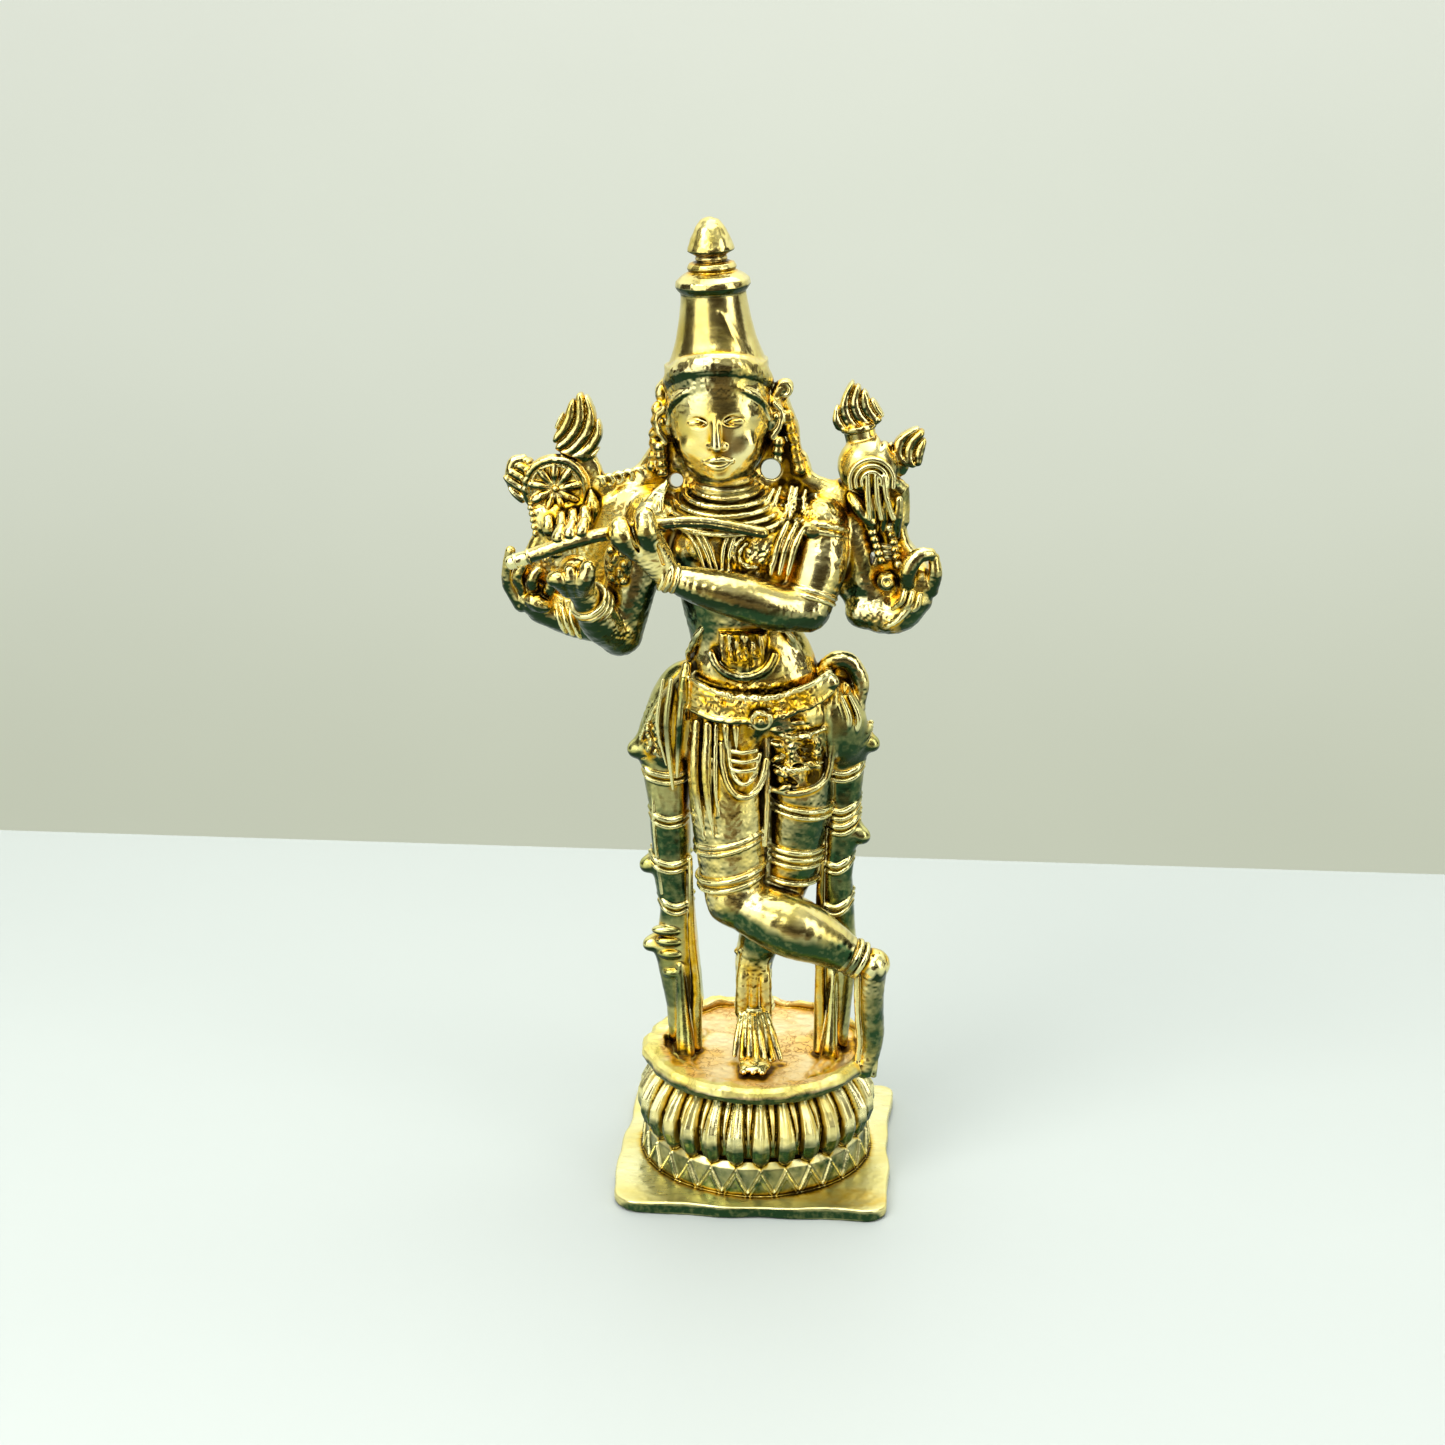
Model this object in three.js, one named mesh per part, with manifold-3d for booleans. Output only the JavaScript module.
// A small cast brass statue of a standing flute player with six arms, on a lotus and a square plate.
// Millimetres. +Z is up, the figure faces -Y, and its own right side is at -X.
// The origin is the centre of the plate's underside.
// The figure is one sculptural body in the metal; here each limb, ornament and emblem is a solid of its own.
import * as THREE from "three";
import { mergeVertices } from "three/addons/utils/BufferGeometryUtils.js";
import Module from "manifold-3d";

const wasm = await Module();
wasm.setup();

// ---------------------------------------------------------------- driving dimensions
const HEIGHT = 120; // underside of the plate to the tip of the crown
const GAP = 0.3; // clearance between neighbouring solids
const AROUND = 8; // facets around a limb
const ROWS = 7; // facets of an ellipsoid from pole to pole
const AROUND_RING = 12; // facets around a band
const RING_SIDES = 5; // facets of a band's section
const AROUND_BASE = 36; // facets around the lotus and its deck
const AROUND_CROWN = 16; // facets around the crown, the collar, the belt and the discus

const PLATE = { width: 34.2, depth: 34.4, thickness: 1.6, corner: 1.8 };
const LOTUS = { footRadius: 15.0, waistRadius: 14.0, bellyRadius: 14.6, neckRadius: 12.6 };
const LOTUS_Z = { foot: PLATE.thickness, waist: 5.4, neck: 13.6 };
const DECK = { radius: 14.3, rim: 1.0, recess: 0.5, bottom: 13.8, top: 15.9 };

// Centres of the joints and of the ends of the limbs.
const AT = {
  neckBase: [-4.0, -0.2, 86.5],
  neckTop: [-4.2, -0.6, 91.0],
  skull: [-4.5, -0.4, 96.6],
  jaw: [-4.2, -1.6, 93.0],
  crownBase: [-5.3, 0.0, 102.2],
  chestTop: [-2.9, 0.2, 84.2],
  chest: [-2.6, 0.0, 80.0],
  ribs: [-2.2, 0.0, 75.0],
  waist: [-1.6, -0.2, 70.0],
  belly: [-1.2, -0.8, 66.5],
  hips: [0.0, -0.2, 61.5],
  standingHip: [4.6, -0.4, 59.0],
  standingThigh: [5.4, -0.8, 50.0],
  standingKnee: [4.4, -0.4, 41.0],
  standingCalf: [2.4, 0.6, 33.0],
  standingAnkle: [-0.5, 1.4, 21.4],
  standingAnklet: [-0.3, 1.3, 22.6],
  standingHeel: [-0.2, 2.2, 18.4],
  standingToes: [1.3, -6.2, 17.4],
  crossedHip: [-3.7, -1.2, 59.0],
  crossedThigh: [-3.5, -2.0, 50.0],
  crossedLowThigh: [-2.9, -2.8, 41.0],
  crossedKnee: [-3.3, -4.0, 37.0],
  crossedCalf: [4.0, -5.0, 34.4],
  crossedAnkle: [12.3, -4.2, 30.0],
  crossedAnklet: [11.9, -4.3, 30.2],
  crossedHeel: [14.9, -3.7, 28.8],
  crossedInstep: [14.7, -3.3, 22.4],
  crossedToes: [14.1, -2.9, 15.2],
  frontLeftShoulder: [7.0, -0.8, 84.6],
  frontLeftElbow: [5.6, -4.4, 75.0],
  frontLeftForearm: [-1.4, -7.0, 76.6],
  frontLeftWrist: [-9.4, -7.9, 79.0],
  frontLeftPalm: [-12.0, -8.4, 81.8],
  frontLeftFingers: [-13.4, -8.6, 86.2],
  frontRightShoulder: [-11.2, -0.8, 84.6],
  frontRightElbow: [-16.2, -1.6, 70.4],
  frontRightWrist: [-20.6, -6.4, 75.2],
  frontRightPalm: [-21.0, -7.6, 78.0],
  frontRightFingers: [-20.4, -8.6, 82.6],
  rearRightShoulder: [-14.6, 1.8, 86.0],
  rearRightBend: [-19.2, 2.4, 79.6],
  rearRightElbow: [-24.4, 2.2, 73.4],
  rearRightWrist: [-24.6, 1.4, 82.4],
  rearRightPalm: [-24.3, 0.8, 84.4],
  rearRightFingers: [-24.3, 0.4, 85.6],
  discus: [-24.1, 0.8, 88.2],
  rearLeftShoulder: [9.6, 1.8, 86.0],
  rearLeftBend: [12.6, 2.4, 79.0],
  rearLeftElbow: [16.2, 2.2, 72.4],
  rearLeftWrist: [14.6, 1.4, 82.6],
  rearLeftPalm: [13.9, 0.8, 85.4],
  rearLeftFingers: [13.6, 0.2, 87.2],
  conch: [13.1, 0.8, 91.6],
  conchMouth: [13.7, 0.6, 88.4],
  conchTip: [12.3, 0.8, 95.0],
  lowerRightPalm: [-27.2, -1.2, 75.2],
  lowerRightFingers: [-28.8, -2.4, 79.2],
  lowerLeftPalm: [18.8, -0.6, 75.2],
  lowerLeftFingers: [20.2, -1.6, 79.2],
};

// The flute's line, from its open end in front of the right arm to its other end on the left breast.
const FLUTE = {
  line: [
    [-28.0, -10.2, 81.3], [-20.8, -9.9, 83.6], [-14.0, -9.0, 85.2],
    [-6.5, -7.4, 85.8], [1.0, -6.6, 85.1],
  ],
  radius: 0.75,
};

// Turned profiles, [radius, height]. The crown's heights at its top are counted down from the tip.
const CROWN_LEAN = -2.4; // degrees, towards the figure's right
const CROWN_HEIGHT = (HEIGHT - AT.crownBase[2]) / Math.cos(THREE.MathUtils.degToRad(CROWN_LEAN));
const fromTip = (radius, depth) => [radius, CROWN_HEIGHT - depth];
const CROWN = {
  finial: [
    fromTip(0, 4.7), fromTip(1.6, 4.7), fromTip(1.6, 4.0), fromTip(2.6, 3.6),
    fromTip(2.7, 3.1), fromTip(1.7, 1.2), fromTip(0.8, 0.2), fromTip(0, 0),
  ],
  upperRing: [
    fromTip(0, 6.2), fromTip(2.3, 6.2), fromTip(2.8, 5.7),
    fromTip(2.7, 5.2), fromTip(2.0, 4.8), fromTip(0, 4.8),
  ],
  lowerRing: [
    fromTip(0, 8.5), fromTip(3.8, 8.5), fromTip(4.4, 7.7),
    fromTip(4.3, 6.9), fromTip(3.0, 6.3), fromTip(0, 6.3),
  ],
  body: [[0, 0.9], [5.9, 0.9], [5.2, 2.6], [4.5, 5.0], [3.9, 7.4], fromTip(3.7, 8.6), fromTip(0, 8.6)],
  band: [[0, -1.6], [6.4, -1.6], [6.6, -0.6], [6.0, 0.8], [0, 0.8]],
  bandTilt: [4, CROWN_LEAN, 0],
};
const COLLAR = {
  profile: [[0, -1.0], [5.4, -1.0], [5.8, -0.2], [3.9, 1.2], [0, 1.2]],
  centre: [-3.8, -0.4, 87.0],
  tilt: [-12, 0, 0],
  squash: 0.82,
};
const BELT = {
  profile: [[0, -1.2], [7.2, -1.2], [7.7, 0], [7.2, 1.2], [0, 1.2]],
  centre: [-1.1, -0.4, 66.2],
  tilt: [-8, 0, 0],
  squash: 0.76,
};
const DISCUS = { rim: 3.9, dish: 2.9, lip: 0.3, half: 0.8 };

// Bands that ring a limb: how far along it, the band's radius and the radius of its section.
const BAND = {
  wrist: [1.9, 0.5],
  rightWrist: [2.2, 0.5],
  armlet: [3.3, 0.5],
  anklet: [2.6, 0.5],
  crossedAnklet: [2.5, 0.5],
  rightWristShare: 0.9,
  armletShare: 0.3,
};

// Outlines of the flat pieces, [x, z], and how far they reach along Y.
const HIP_BAND = {
  outline: [
    [-7.9, 65.4], [-7.9, 61.2], [-4.0, 60.6], [0.8, 60.2], [5.0, 61.4], [8.8, 63.6], [8.2, 66.2],
    [3.0, 64.0], [-2.0, 63.6],
  ],
  front: -6.2,
  back: -4.6,
};
const SASH_FOOT = DECK.top - DECK.recess + GAP;
const RIGHT_SASH = {
  outline: [
    [-6.4, 66.0], [-9.6, 65.6], [-12.8, 62.2], [-14.6, 58.2], [-16.1, 55.0], [-14.4, 52.8], [-13.6, 47.6],
    [-13.2, 42.0], [-14.6, 39.8], [-12.9, 37.8], [-12.2, 33.4], [-12.6, 30.6], [-14.4, 28.9], [-12.7, 26.6],
    [-11.4, 20.4], [-11.2, SASH_FOOT], [-7.6, SASH_FOOT], [-6.9, 21.0], [-7.3, 29.0], [-8.4, 38.0],
    [-8.6, 47.0], [-8.2, 56.0],
  ],
  front: -1.4,
  back: 3.4,
};
const LEFT_SASH = {
  outline: [
    [6.2, 65.0], [9.4, 64.0], [12.4, 61.6], [13.0, 59.0], [14.8, 56.6], [13.1, 54.2], [12.8, 49.8],
    [12.5, 46.6], [13.8, 44.6], [12.2, 42.4], [11.8, 38.6], [12.2, 33.0], [12.8, 28.0], [12.2, 21.0],
    [11.9, SASH_FOOT], [8.2, SASH_FOOT], [7.6, 21.0], [7.7, 30.0], [7.8, 39.0], [8.4, 46.0], [8.3, 56.0],
  ],
  front: -0.8,
  back: 3.4,
};

// A flame stands on its base point and leans by degrees towards +X.
const FLAME = {
  outline: [
    [0, 0], [0.3, 0.1], [0.5, 0.38], [0.42, 0.66],
    [0, 1], [-0.42, 0.66], [-0.5, 0.38], [-0.3, 0.1],
  ],
  half: 0.7,
};
const FLAMES = {
  discus_flame_top: { base: [-22.6, 1.2, 91.6], height: 7.4, width: 4.6, lean: 12 },
  discus_flame_side: { base: [-27.0, 1.2, 88.4], height: 3.6, width: 4.2, lean: -84 },
  conch_flame_top: { base: [11.9, 1.2, 95.2], height: 5.8, width: 4.2, lean: -14 },
  conch_flame_side: { base: [16.6, 1.2, 91.6], height: 4.0, width: 4.4, lean: 46 },
};

// Plain limbs as lines of balls, [centre, radius].
const LIMBS = {
  right_ear_ornament: [[[-11.2, 0.8, 99.4], 1.3], [[-11.6, 0.4, 95.2], 1.3], [[-11.4, 0.2, 91.4], 0.9]],
  left_ear_ornament: [[[2.7, 1.0, 100.2], 1.3], [[3.1, 0.6, 96.0], 1.4], [[2.6, 0.2, 92.2], 0.9]],
  neck: [[AT.neckBase, 3.6], [AT.neckTop, 3.1]],
  standing_shin: [[AT.standingAnkle, 2.1], [AT.standingCalf, 3.0], [AT.standingKnee, 3.3]],
  standing_thigh: [[AT.standingHip, 4.2], [AT.standingThigh, 3.8], [AT.standingKnee, 3.5]],
  crossed_shin: [[AT.crossedKnee, 2.9], [AT.crossedCalf, 3.7], [AT.crossedAnkle, 2.1]],
  crossed_foot: [[AT.crossedHeel, 1.9], [AT.crossedInstep, 1.5], [AT.crossedToes, 1.2]],
  crossed_thigh: [[AT.crossedHip, 4.7], [AT.crossedThigh, 4.8], [AT.crossedLowThigh, 4.1]],
  front_left_hand: [[AT.frontLeftPalm, 2.1], [AT.frontLeftFingers, 1.51]],
  front_left_forearm: [[AT.frontLeftElbow, 2.8], [AT.frontLeftForearm, 2.7], [AT.frontLeftWrist, 1.6]],
  front_left_upper_arm: [[AT.frontLeftShoulder, 3.2], [AT.frontLeftElbow, 2.8]],
  front_right_hand: [[AT.frontRightPalm, 2.2], [AT.frontRightFingers, 1.58]],
  front_right_forearm: [[AT.frontRightElbow, 2.6], [AT.frontRightWrist, 1.8]],
  front_right_upper_arm: [[AT.frontRightShoulder, 3.2], [AT.frontRightElbow, 2.7]],
  rear_right_hand: [[AT.rearRightPalm, 2.3], [AT.rearRightFingers, 1.66]],
  rear_right_forearm: [[AT.rearRightElbow, 2.6], [AT.rearRightWrist, 1.8]],
  rear_right_upper_arm: [[AT.rearRightShoulder, 2.9], [AT.rearRightBend, 2.7], [AT.rearRightElbow, 2.7]],
  rear_left_hand: [[AT.rearLeftPalm, 2.2], [AT.rearLeftFingers, 1.58]],
  rear_left_forearm: [[AT.rearLeftElbow, 2.7], [AT.rearLeftWrist, 1.9]],
  rear_left_upper_arm: [[AT.rearLeftShoulder, 2.9], [AT.rearLeftBend, 2.8], [AT.rearLeftElbow, 2.8]],
  lower_right_hand: [[AT.lowerRightPalm, 1.9], [AT.lowerRightFingers, 1.37]],
  lower_left_hand: [[AT.lowerLeftPalm, 1.9], [AT.lowerLeftFingers, 1.37]],
  right_hair_lock: [[[-10.2, 2.2, 92.6], 1.4], [[-12.0, 2.4, 89.4], 1.5], [[-16.4, 2.0, 88.6], 1.1]],
  left_hair_lock: [[[2.2, 2.2, 93.0], 1.4], [[4.6, 2.4, 89.8], 1.6], [[8.6, 2.0, 88.0], 1.2]],
  left_sash_knot: [[[8.8, 1.0, 66.2], 1.6], [[11.2, 1.0, 65.6], 1.9], [[11.6, 1.0, 62.0], 1.4]],
};

// Rounded masses as groups of ellipsoids, [centre, radii].
const MASSES = {
  head: [[AT.skull, [5.9, 5.6, 5.6]], [AT.jaw, [4.4, 4.2, 4.3]]],
  hair_bun: [[[-4.9, 4.2, 94.6], [5.2, 2.4, 5.0]]],
  chest: [[AT.chestTop, [9.6, 4.2, 3.6]], [AT.chest, [8.2, 4.6, 6.0]]],
  abdomen: [[AT.ribs, [7.4, 4.3, 5.4]], [AT.waist, [6.6, 4.4, 5.0]]],
  hips: [[AT.hips, [8.6, 5.2, 5.6]]],
  belt_clasp: [[[0.9, -6.4, 61.6], [1.7, 1.2, 1.5]]],
  conch: [
    [AT.conch, [3.9, 3.2, 3.9]], [AT.conchMouth, [1.9, 1.7, 2.6]], [AT.conchTip, [1.8, 1.6, 1.2]],
  ],
  standing_toes: [[AT.standingToes, [2.7, 2.6, 1.3]]],
};
const STANDING_FOOT = [[AT.standingHeel, 2.1], [AT.standingToes, 1.6]];

// ---------------------------------------------------------------- solids from three.js geometry
function solidOf(geometry) {
  for (const name of ["normal", "uv"]) geometry.deleteAttribute(name);
  const merged = mergeVertices(geometry, 1e-4);
  return new wasm.Manifold(new wasm.Mesh({
    numProp: 3,
    vertProperties: merged.attributes.position.array,
    triVerts: new Uint32Array(merged.index.array),
  }));
}

function geometryOf(solid) {
  const mesh = solid.getMesh();
  const geometry = new THREE.BufferGeometry();
  geometry.setAttribute("position", new THREE.BufferAttribute(new Float32Array(mesh.vertProperties), 3));
  geometry.setIndex(new THREE.BufferAttribute(new Uint32Array(mesh.triVerts), 1));
  geometry.computeVertexNormals();
  return geometry;
}

const union = (solids) => solids.reduce((whole, solid) => whole.add(solid));
const along = (a, b, share) => a.map((value, i) => value + (b[i] - value) * share);
const between = (a, b) => b.map((value, i) => value - a[i]);

// A rounded mass: the union of ellipsoids, [[centre, radii], ...].
function mass(balls, grow = 0) {
  return union(balls.map(([centre, radii]) => {
    const geometry = new THREE.SphereGeometry(1, AROUND, ROWS);
    geometry.scale(...radii.map((radius) => radius + grow));
    return solidOf(geometry.translate(...centre));
  }));
}

// A limb through a line of balls, [[point, radius], ...], with round ends:
// a turned spindle with a ring at each ball, whose rings are then moved onto the line.
function limb(balls, grow = 0) {
  const centres = balls.map(([point]) => new THREE.Vector3(...point));
  const radii = balls.map(([, radius]) => radius + grow);
  const last = balls.length - 1;
  const stretches = centres.slice(1).map((centre, i) => centre.clone().sub(centres[i]).normalize());
  const aims = centres.map((_, i) => {
    const before = stretches[Math.max(i - 1, 0)];
    return before.clone().add(stretches[Math.min(i, last - 1)]).normalize();
  });
  const capRing = (i, side, share) => ({
    centre: centres[i].clone().addScaledVector(aims[i], side * radii[i] * Math.sin(share * Math.PI / 2)),
    aim: aims[i],
    radius: radii[i] * Math.cos(share * Math.PI / 2),
  });
  const rings = [
    { ...capRing(0, -1, 1), radius: 0 },
    capRing(0, -1, 0.5),
    ...centres.map((centre, i) => ({ centre, aim: aims[i], radius: radii[i] })),
    capRing(last, 1, 0.5),
    { ...capRing(last, 1, 1), radius: 0 },
  ];
  const profile = rings.map(({ radius }, i) => new THREE.Vector2(radius, i));
  const geometry = new THREE.LatheGeometry(profile, AROUND);
  const place = geometry.attributes.position;
  for (let v = 0; v < place.count; v++) {
    const { centre, aim } = rings[Math.round(place.getY(v))];
    const turn = new THREE.Quaternion().setFromUnitVectors(new THREE.Vector3(0, 1, 0), aim);
    const spoke = new THREE.Vector3(place.getX(v), 0, place.getZ(v)).applyQuaternion(turn).add(centre);
    place.setXYZ(v, ...spoke);
  }
  return solidOf(geometry);
}

// A profile or outline made larger by grow on every side of its own box.
function grown(points, grow) {
  const low = [0, 1].map((axis) => Math.min(...points.map((point) => point[axis])));
  const high = [0, 1].map((axis) => Math.max(...points.map((point) => point[axis])));
  return points.map((point) => point.map((value, axis) => {
    const middle = (low[axis] + high[axis]) / 2;
    return middle + (value - middle) * (1 + 2 * grow / (high[axis] - low[axis]));
  }));
}

// A turned form: profile is [radius, height] from the axis at the bottom to the axis at the top.
function turned(profile, centre, { around = AROUND_CROWN, tilt = [0, 0, 0], squash = 1, grow = 0 }) {
  const points = grown(profile, grow).map(([r, h]) => new THREE.Vector2(Math.max(r, 0), h));
  const geometry = new THREE.LatheGeometry(points, around);
  geometry.rotateX(Math.PI / 2).scale(1, squash, 1);
  const degrees = tilt.map(THREE.MathUtils.degToRad);
  geometry.applyQuaternion(new THREE.Quaternion().setFromEuler(new THREE.Euler(...degrees)));
  return solidOf(geometry.translate(...centre));
}

// A ring of round section around an axis.
function ring(centre, axis, [radius, section], grow = 0) {
  const geometry = new THREE.TorusGeometry(radius, section + grow, RING_SIDES, AROUND_RING);
  const aim = new THREE.Vector3(...axis).normalize();
  geometry.applyQuaternion(new THREE.Quaternion().setFromUnitVectors(new THREE.Vector3(0, 0, 1), aim));
  return solidOf(geometry.translate(...centre));
}

// A flat form: an outline of [x, z] points, extruded along Y from front to back.
function slab({ outline, front, back }, grow = 0) {
  const shape = new THREE.Shape(grown(outline, grow).map(([x, z]) => new THREE.Vector2(x, z)));
  const depth = back - front + 2 * grow;
  const geometry = new THREE.ExtrudeGeometry(shape, { depth, bevelEnabled: false });
  return solidOf(geometry.rotateX(Math.PI / 2).translate(0, back + grow, 0));
}

// A leaf-shaped flame standing on its base point.
function leaf({ base, height, width, lean }, grow = 0) {
  const angle = THREE.MathUtils.degToRad(lean);
  const outline = FLAME.outline
    .map(([u, v]) => [u * width, v * height])
    .map(([u, v]) => [
      base[0] + u * Math.cos(angle) + v * Math.sin(angle),
      base[2] - u * Math.sin(angle) + v * Math.cos(angle),
    ]);
  return slab({ outline, front: base[1] - FLAME.half, back: base[1] + FLAME.half }, grow);
}

// ---------------------------------------------------------------- the pieces
// Each piece is a name, a solid made larger by grow, and a metal.
// A later piece is cut back from the earlier ones.
const pieces = [];
const piece = (name, make, metal = "figure") => pieces.push({ name, make, metal });
const addLimb = (name) => piece(name, (grow) => limb(LIMBS[name], grow));
const addMass = (name) => piece(name, (grow) => mass(MASSES[name], grow));
const addFlame = (name) => piece(name, (grow) => leaf(FLAMES[name], grow));

function addBase() {
  piece("base_plate", () => {
    const { width, depth, thickness, corner } = PLATE;
    const [x, y] = [width / 2 - corner, depth / 2 - corner];
    const shape = new THREE.Shape();
    shape.absarc(x, -y, corner, -Math.PI / 2, 0);
    shape.absarc(x, y, corner, 0, Math.PI / 2);
    shape.absarc(-x, y, corner, Math.PI / 2, Math.PI);
    shape.absarc(-x, -y, corner, Math.PI, 1.5 * Math.PI);
    const options = { depth: thickness, bevelEnabled: false, curveSegments: 3 };
    return solidOf(new THREE.ExtrudeGeometry(shape, options));
  }, "plate");
  const { foot, waist, neck } = LOTUS_Z;
  const { footRadius, waistRadius, bellyRadius, neckRadius } = LOTUS;
  const round = { around: AROUND_BASE };
  piece("lotus_lower_petals", () => turned([
    [0, foot], [footRadius, foot], [footRadius + 0.2, foot + 1.2],
    [waistRadius + 0.4, waist - 0.8], [waistRadius, waist], [0, waist],
  ], [0, 0, 0], round), "plate");
  piece("lotus_upper_petals", () => turned([
    [0, waist], [waistRadius, waist], [bellyRadius, waist + 1.6],
    [bellyRadius - 0.4, waist + 4.4], [neckRadius, neck], [0, neck],
  ], [0, 0, 0], round), "plate");
  const { radius, rim, recess, bottom, top } = DECK;
  piece("lotus_deck", () => turned([
    [0, bottom], [radius - 1.2, bottom], [radius, bottom + 1.0], [radius - 0.2, top],
    [radius - rim, top], [radius - rim - 0.4, top - recess], [0, top - recess],
  ], [0, 0, 0], round), "deck");
}

function addFlute() {
  const balls = FLUTE.line.map((point) => [point, FLUTE.radius]);
  piece("flute", (grow) => limb(balls, grow));
}

function addHead() {
  const tilt = [0, CROWN_LEAN, 0];
  piece("crown_finial", (grow) => turned(CROWN.finial, AT.crownBase, { tilt, grow }));
  piece("crown_upper_ring", (grow) => turned(CROWN.upperRing, AT.crownBase, { tilt, grow }));
  piece("crown_lower_ring", (grow) => turned(CROWN.lowerRing, AT.crownBase, { tilt, grow }));
  piece("crown_body", (grow) => turned(CROWN.body, AT.crownBase, { tilt, grow }));
  piece("diadem_band", (grow) => turned(CROWN.band, AT.crownBase, { tilt: CROWN.bandTilt, grow }));
  addMass("head");
  addMass("hair_bun");
  addLimb("right_ear_ornament");
  addLimb("left_ear_ornament");
}

function addLegs() {
  const upright = [-0.2, 0, 1];
  const crossed = between(AT.crossedCalf, AT.crossedAnkle);
  piece("standing_foot", (grow) => limb(STANDING_FOOT, grow).add(mass(MASSES.standing_toes, grow)));
  piece("standing_anklet", (grow) => ring(AT.standingAnklet, upright, BAND.anklet, grow));
  addLimb("standing_shin");
  piece("crossed_anklet", (grow) => ring(AT.crossedAnklet, crossed, BAND.crossedAnklet, grow));
  addLimb("crossed_shin");
  addLimb("crossed_foot");
  addLimb("crossed_thigh");
  addLimb("standing_thigh");
}

function addTorso() {
  addLimb("neck");
  piece("collar", (grow) => turned(COLLAR.profile, COLLAR.centre, { ...COLLAR, grow }));
  addMass("chest");
  addMass("abdomen");
  piece("waist_belt", (grow) => turned(BELT.profile, BELT.centre, { ...BELT, grow }));
  addMass("hips");
  addMass("belt_clasp");
  piece("hip_sash_band", (grow) => slab(HIP_BAND, grow));
}

function addFrontArms() {
  const leftWrist = between(AT.frontLeftWrist, AT.frontLeftPalm);
  const leftArm = between(AT.frontLeftShoulder, AT.frontLeftElbow);
  const leftBand = along(AT.frontLeftShoulder, AT.frontLeftElbow, BAND.armletShare);
  const rightArm = between(AT.frontRightElbow, AT.frontRightWrist);
  const rightBand = along(AT.frontRightElbow, AT.frontRightWrist, BAND.rightWristShare);
  addLimb("front_left_hand");
  addLimb("front_right_hand");
  piece("front_left_bracelet", (grow) => ring(AT.frontLeftWrist, leftWrist, BAND.wrist, grow));
  piece("front_right_bracelet", (grow) => ring(rightBand, rightArm, BAND.rightWrist, grow));
  addLimb("front_left_forearm");
  piece("front_left_armlet", (grow) => ring(leftBand, leftArm, BAND.armlet, grow));
  addLimb("front_left_upper_arm");
  addLimb("front_right_forearm");
  addLimb("front_right_upper_arm");
}

function addEmblems() {
  piece("discus", (grow) => {
    const { rim, dish, lip, half } = DISCUS;
    const face = -half - lip;
    const profile = [[0, -half], [dish, -half], [dish + lip, face], [rim, face], [rim, half], [0, half]];
    return turned(profile, AT.discus, { tilt: [-90, 0, 0], grow });
  });
  addMass("conch");
  addFlame("discus_flame_top");
  addFlame("discus_flame_side");
  addFlame("conch_flame_top");
  addFlame("conch_flame_side");
}

function addRearArms() {
  addLimb("rear_right_hand");
  addLimb("rear_left_hand");
  addLimb("lower_right_hand");
  addLimb("lower_left_hand");
  addLimb("rear_right_forearm");
  addLimb("rear_left_forearm");
  addLimb("rear_right_upper_arm");
  addLimb("rear_left_upper_arm");
}

function addHairLocks() {
  addLimb("right_hair_lock");
  addLimb("left_hair_lock");
}

// The stiff sash on each side hangs from the hip to the deck, with a spiked fold at each gather.
function addSideSashes() {
  piece("right_side_sash", (grow) => slab(RIGHT_SASH, grow), "sash");
  addLimb("left_sash_knot");
  piece("left_side_sash", (grow) => slab(LEFT_SASH, grow), "sash");
}

addBase();
addFlute();
addHead();
addLegs();
addTorso();
addFrontArms();
addEmblems();
addRearArms();
addHairLocks();
addSideSashes();

// ---------------------------------------------------------------- the assembly
const METALS = {
  figure: new THREE.MeshStandardMaterial({ color: 0xd9b23c, roughness: 0.24, metalness: 1 }),
  plate: new THREE.MeshStandardMaterial({ color: 0xe2c458, roughness: 0.3, metalness: 1 }),
  deck: new THREE.MeshStandardMaterial({ color: 0xdba868, roughness: 0.5, metalness: 1 }),
  sash: new THREE.MeshStandardMaterial({ color: 0x9c9a3c, roughness: 0.28, metalness: 1 }),
};

const boxesMeet = (a, b) => [0, 1, 2].every((i) => a.min[i] < b.max[i] && b.min[i] < a.max[i]);
const larger = (a, b) => (a.volume() > b.volume() ? a : b);
const largest = (solid) => solid.decompose().reduce(larger);

const statue = new THREE.Group();
const placed = [];
for (const { name, make, metal } of pieces) {
  let solid = make(0);
  for (const other of placed) {
    if (boxesMeet(solid.boundingBox(), other.grown.boundingBox())) solid = solid.subtract(other.grown);
  }
  solid = largest(solid);
  placed.push({ name, grown: make(GAP) });
  const mesh = new THREE.Mesh(geometryOf(solid), METALS[metal]);
  mesh.name = name;
  statue.add(mesh);
}

export default statue;
